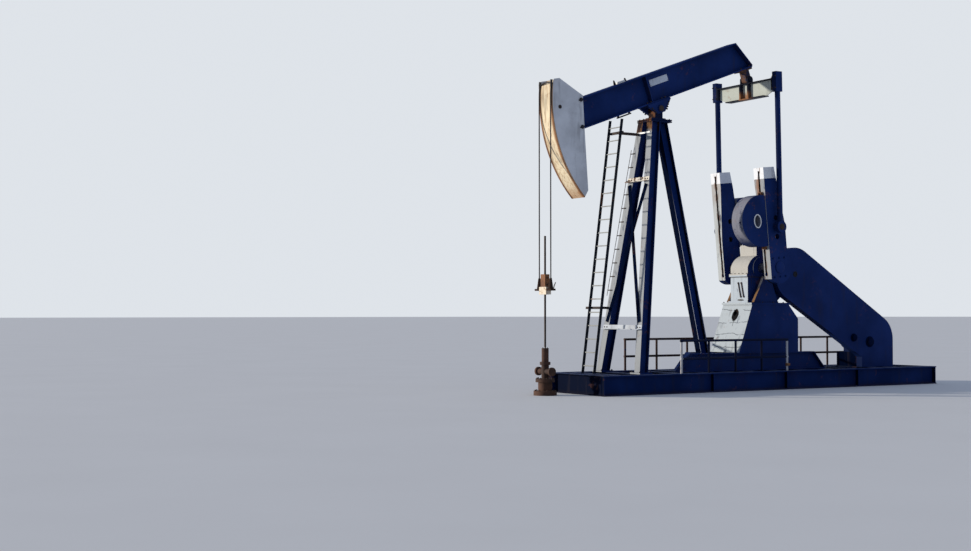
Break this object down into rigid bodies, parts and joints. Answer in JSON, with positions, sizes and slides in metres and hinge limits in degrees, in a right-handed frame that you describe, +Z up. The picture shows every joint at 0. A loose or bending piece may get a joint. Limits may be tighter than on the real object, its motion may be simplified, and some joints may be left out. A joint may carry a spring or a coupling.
{
  "type": "pumpjack",
  "caption": "Beam pumping unit: walking beam with horsehead and rope bridle, cranks with counterweights, gear reducer and motor on a steel skid, with its wellhead.",
  "frame": {"origin": "on the ground, on the centre line, straight below the walking beam's pivot, at the underside of the skid", "axes": "+X along the skid from the well towards the motor, +Y to the far side, the one without the belt guard, +Z up"},
  "size_m": [10.43, 2.016, 7.4705],
  "materials": {
    "blue_paint": "faded dark blue paint",
    "white_paint": "weathered white paint",
    "rusted_steel": "rusted",
    "bare_steel": "machined",
    "wire_rope": "greased wire rope"
  },
  "bodies": {
    "base": {"skid_rail_near": "blue_paint", "skid_rail_far": "blue_paint", "skid_cross_beams": "blue_paint", "riser_beams": "blue_paint", "pedestal": "blue_paint", "reducer_case": "blue_paint", "reducer_cover": "blue_paint", "front_leg_near": "blue_paint", "front_leg_far": "blue_paint", "rear_leg": "blue_paint", "brace_front": "blue_paint", "brace_rear": "blue_paint", "saddle_housing": "blue_paint", "ladder": "blue_paint", "ladder_brackets": "blue_paint", "belt_guard": "blue_paint", "motor": "blue_paint", "motor_base": "blue_paint", "brake_drum": "blue_paint", "crank_guard_near": "blue_paint", "crank_guard_far": "blue_paint", "lower_tie": "rusted_steel", "upper_tie": "rusted_steel", "post_cap": "rusted_steel", "wellhead": "rusted_steel", "polished_rod": "bare_steel", "bridle_ropes": "wire_rope"},
    "crank": {"crankshaft": "bare_steel", "crank_near": "blue_paint", "crank_far": "blue_paint", "counterweight_near": "blue_paint", "counterweight_far": "blue_paint"},
    "beam": {"walking_beam": "blue_paint", "saddle_bracket": "blue_paint", "tail_bearing": "blue_paint", "horsehead_sides": "white_paint", "horsehead_face": "white_paint", "rope_tracks": "rusted_steel", "rope_anchors": "wire_rope"},
    "equalizer": {"equalizer_beam": "white_paint", "pitman_near": "blue_paint", "pitman_far": "blue_paint"},
    "rod": {"carrier_bar": "rusted_steel", "rod_clamp": "rusted_steel", "rod_sleeve": "bare_steel"}
  },
  "joints": [
    {"name": "crank_turn", "type": "hinge", "parent": "base", "child": "crank", "pos_m": [2.69, 0, 2.6], "axis": [0, -1, 0], "range_deg": [0, 178.42]},
    {"name": "beam_rock", "type": "hinge", "parent": "base", "child": "beam", "pos_m": [0, 0, 5.88], "axis": [0, 1, 0], "range_deg": [0, 37.6]},
    {"name": "equalizer_swing", "type": "hinge", "parent": "beam", "child": "equalizer", "pos_m": [2.53712, 0, 6.71722], "axis": [0, -1, 0], "range_deg": [0, 40.42]},
    {"name": "rod_lift", "type": "slide", "parent": "base", "child": "rod", "axis": [0, 0, 1], "range_m": [0, 1.8376], "deforming": ["bridle_ropes"]}
  ],
  "couplings": [
    {"joint": "beam_rock", "follows": "crank_turn", "ratio": 0.21063},
    {"joint": "equalizer_swing", "follows": "crank_turn", "ratio": 0.22642},
    {"joint": "rod_lift", "follows": "crank_turn", "m_per_rad": 0.58975}
  ]
}
